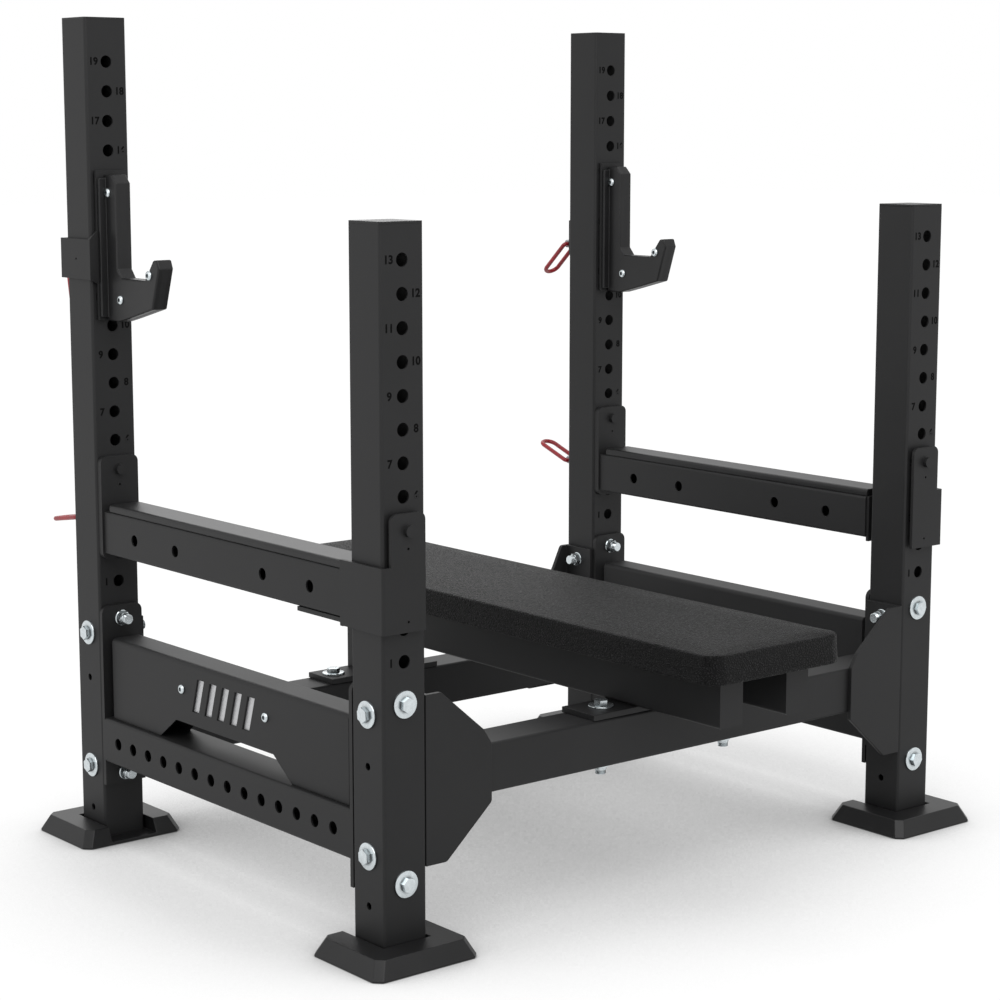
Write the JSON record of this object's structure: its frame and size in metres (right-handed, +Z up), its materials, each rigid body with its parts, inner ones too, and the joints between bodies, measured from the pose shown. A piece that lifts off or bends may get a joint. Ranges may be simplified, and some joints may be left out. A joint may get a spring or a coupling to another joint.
{
  "type": "olympic bench press",
  "caption": "Half-rack bench press station: four numbered uprights, padded flat bench, two J-hooks and two spotter arms held by lock pins.",
  "frame": {"origin": "bottom centre of the bounding box, on the floor", "axes": "+X to the right of a lifter who looks to the rear, +Y to the rear, where the tall uprights stand, +Z up"},
  "size_m": [1.352, 1.2672, 1.4408],
  "materials": {
    "powder_coat": "matte",
    "zinc": "satin",
    "pin_steel": "satin",
    "bare_steel": "satin",
    "leather": "matte",
    "board": "matte",
    "black_plastic": "matte",
    "red_cord": "satin"
  },
  "bodies": {
    "frame": {"badge_plate_left": "bare_steel", "badge_plate_right": "bare_steel", "bench_board": "board", "bench_end_plate": "powder_coat", "bench_mount_front": "powder_coat", "bench_mount_rear": "powder_coat", "bench_pad": "leather", "bench_post": "powder_coat", "bench_rail_left": "powder_coat", "bench_rail_right": "powder_coat", "bolts_bench": "zinc", "bolts_front": "zinc", "bolts_rear": "zinc", "bracket_front_left": "powder_coat", "bracket_front_right": "powder_coat", "bracket_rear_left": "powder_coat", "bracket_rear_right": "powder_coat", "cap_front_left": "black_plastic", "cap_front_right": "black_plastic", "cap_rear_left": "black_plastic", "cap_rear_right": "black_plastic", "crossbeam_front": "powder_coat", "crossbeam_rear": "powder_coat", "foot_front_left": "black_plastic", "foot_front_right": "black_plastic", "foot_rear_left": "black_plastic", "foot_rear_right": "black_plastic", "side_panel_left": "powder_coat", "side_panel_right": "powder_coat", "side_rail_left": "powder_coat", "side_rail_right": "powder_coat", "upright_front_left": "powder_coat", "upright_front_right": "powder_coat", "upright_rear_left": "powder_coat", "upright_rear_right": "powder_coat"},
    "jhook_left": {"jhook_core_left": "powder_coat", "jhook_liner_in_left": "black_plastic", "jhook_liner_out_left": "black_plastic", "jhook_saddle_left": "powder_coat"},
    "arm_left": {"arm_liner_left": "black_plastic", "arm_nose_left": "powder_coat", "arm_tail_left": "powder_coat", "arm_tube_left": "powder_coat"},
    "pin_jhook_left": {"pin_jhook_left": "pin_steel"},
    "loop_jhook_left": {"loop_jhook_left": "red_cord"},
    "pin_arm_left": {"pin_arm_left": "pin_steel"},
    "loop_arm_left": {"loop_arm_left": "red_cord"},
    "jhook_right": {"jhook_core_right": "powder_coat", "jhook_liner_in_right": "black_plastic", "jhook_liner_out_right": "black_plastic", "jhook_saddle_right": "powder_coat"},
    "arm_right": {"arm_liner_right": "black_plastic", "arm_nose_right": "powder_coat", "arm_tail_right": "powder_coat", "arm_tube_right": "powder_coat"},
    "pin_jhook_right": {"pin_jhook_right": "pin_steel"},
    "loop_jhook_right": {"loop_jhook_right": "red_cord"},
    "pin_arm_right": {"pin_arm_right": "pin_steel"},
    "loop_arm_right": {"loop_arm_right": "red_cord"}
  },
  "joints": [
    {"name": "jhook_left_lift_off", "type": "slide", "parent": "frame", "child": "jhook_left", "axis": [0, -1, 0], "range_m": [0, 0.0065]},
    {"name": "arm_left_lift_off", "type": "slide", "parent": "frame", "child": "arm_left", "axis": [0, -1, 0], "range_m": [0, 0.0095]},
    {"name": "pin_jhook_left_pull", "type": "slide", "parent": "jhook_left", "child": "pin_jhook_left", "axis": [0, 1, 0], "range_m": [0, 0.12]},
    {"name": "pin_arm_left_pull", "type": "slide", "parent": "frame", "child": "pin_arm_left", "axis": [0, 1, 0], "range_m": [0, 0.12]},
    {"name": "loop_jhook_left_swing", "type": "hinge", "parent": "pin_jhook_left", "child": "loop_jhook_left", "pos_m": [-0.577, 0.54743, 1.0164], "axis": [1, 0, 0], "range_deg": [-5, 200]},
    {"name": "loop_arm_left_swing", "type": "hinge", "parent": "pin_arm_left", "child": "loop_arm_left", "pos_m": [-0.577, 0.54043, 0.5664], "axis": [1, 0, 0], "range_deg": [-96, 109]},
    {"name": "jhook_right_lift_off", "type": "slide", "parent": "frame", "child": "jhook_right", "axis": [0, -1, 0], "range_m": [0, 0.0065]},
    {"name": "arm_right_lift_off", "type": "slide", "parent": "frame", "child": "arm_right", "axis": [0, -1, 0], "range_m": [0, 0.0095]},
    {"name": "pin_jhook_right_pull", "type": "slide", "parent": "jhook_right", "child": "pin_jhook_right", "axis": [0, 1, 0], "range_m": [0, 0.12]},
    {"name": "pin_arm_right_pull", "type": "slide", "parent": "frame", "child": "pin_arm_right", "axis": [0, 1, 0], "range_m": [0, 0.12]},
    {"name": "loop_jhook_right_swing", "type": "hinge", "parent": "pin_jhook_right", "child": "loop_jhook_right", "pos_m": [0.577, 0.54743, 1.0164], "axis": [1, 0, 0], "range_deg": [-63, 142]},
    {"name": "loop_arm_right_swing", "type": "hinge", "parent": "pin_arm_right", "child": "loop_arm_right", "pos_m": [0.577, 0.54043, 0.5664], "axis": [1, 0, 0], "range_deg": [-125, 80]}
  ]
}
